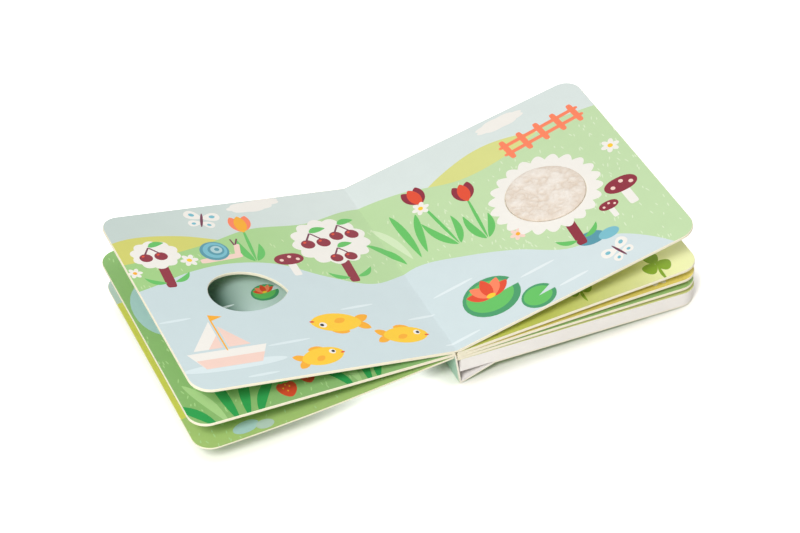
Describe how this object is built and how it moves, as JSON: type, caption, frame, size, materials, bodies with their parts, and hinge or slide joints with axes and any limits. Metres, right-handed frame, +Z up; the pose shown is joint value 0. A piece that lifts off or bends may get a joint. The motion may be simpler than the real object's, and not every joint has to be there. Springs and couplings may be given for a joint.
{
  "type": "tactile board book",
  "caption": "Open board touch-and-feel book with rounded leaves, a peek-through window, an oval fleece patch and a thick base block behind the pages.",
  "frame": {"origin": "on the table, under the middle of the gutter: the bottom centre of the open book's box", "axes": "+X to the right-hand page's fore-edge, +Y along the spine to the far end, +Z up"},
  "size_m": [0.361, 0.182, 0.0694],
  "materials": {
    "printed_board": "satin print on thick board",
    "cover_board": "satin print on board",
    "fleece": "curly pile",
    "block_foam": "matte foam",
    "case_plastic": "fine moulded grain",
    "button_plastic": "gloss",
    "speaker_frame": "satin",
    "circuit_laminate": "matte",
    "cell_steel": "brushed",
    "contact_metal": "brushed"
  },
  "bodies": {
    "book": {"pages": "printed_board", "fleece_patch": "fleece", "back_cover": "cover_board", "base_block": "block_foam", "unit_case": "case_plastic", "speaker": "speaker_frame", "circuit_board": "circuit_laminate", "button_cells": "cell_steel", "battery_contacts": "contact_metal", "battery_door": "case_plastic", "door_screw": "contact_metal"},
    "front_cover": {"front_cover": "cover_board"},
    "sound_button": {"sound_button": "button_plastic"}
  },
  "joints": [
    {"name": "front_cover_hinge", "type": "hinge", "parent": "book", "child": "front_cover", "pos_m": [-0.0019, 0, 0.02441], "axis": [0, 1, 0], "range_deg": [-80, 6.2]},
    {"name": "sound_button_press", "type": "slide", "parent": "book", "child": "sound_button", "axis": [-0.055, 0, -0.9985], "range_m": [0, 0.001], "stiffness_N_per_m": 1500, "springref_m": -0.001}
  ]
}
